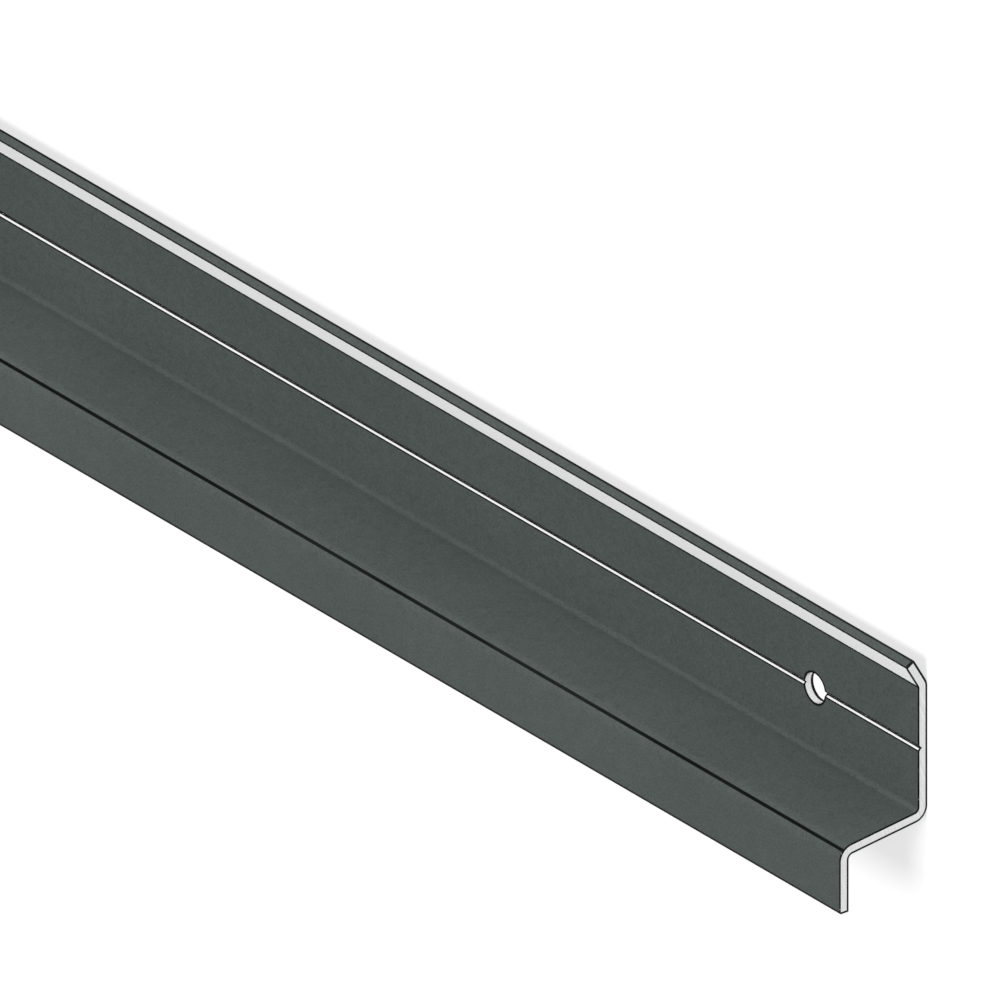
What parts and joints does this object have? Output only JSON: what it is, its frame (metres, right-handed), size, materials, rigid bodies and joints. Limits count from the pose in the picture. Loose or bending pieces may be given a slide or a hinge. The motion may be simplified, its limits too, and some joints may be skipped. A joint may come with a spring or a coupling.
{
  "type": "drip cap flashing profile",
  "caption": "Straight extruded wall flashing with a leaning top lip, a marked row of round screw holes, a sloping ledge and a turned-down drip edge.",
  "frame": {"origin": "on the floor under the middle of the part, which lies on its wall face", "axes": "+X along the length, +Y across the section from the lip to the drip edge, +Z out from the wall"},
  "size_m": [2, 0.047, 0.0204],
  "materials": {
    "coated_aluminium": "satin"
  },
  "bodies": {
    "root": {"drip_cap_profile": "coated_aluminium"}
  },
  "joints": []
}
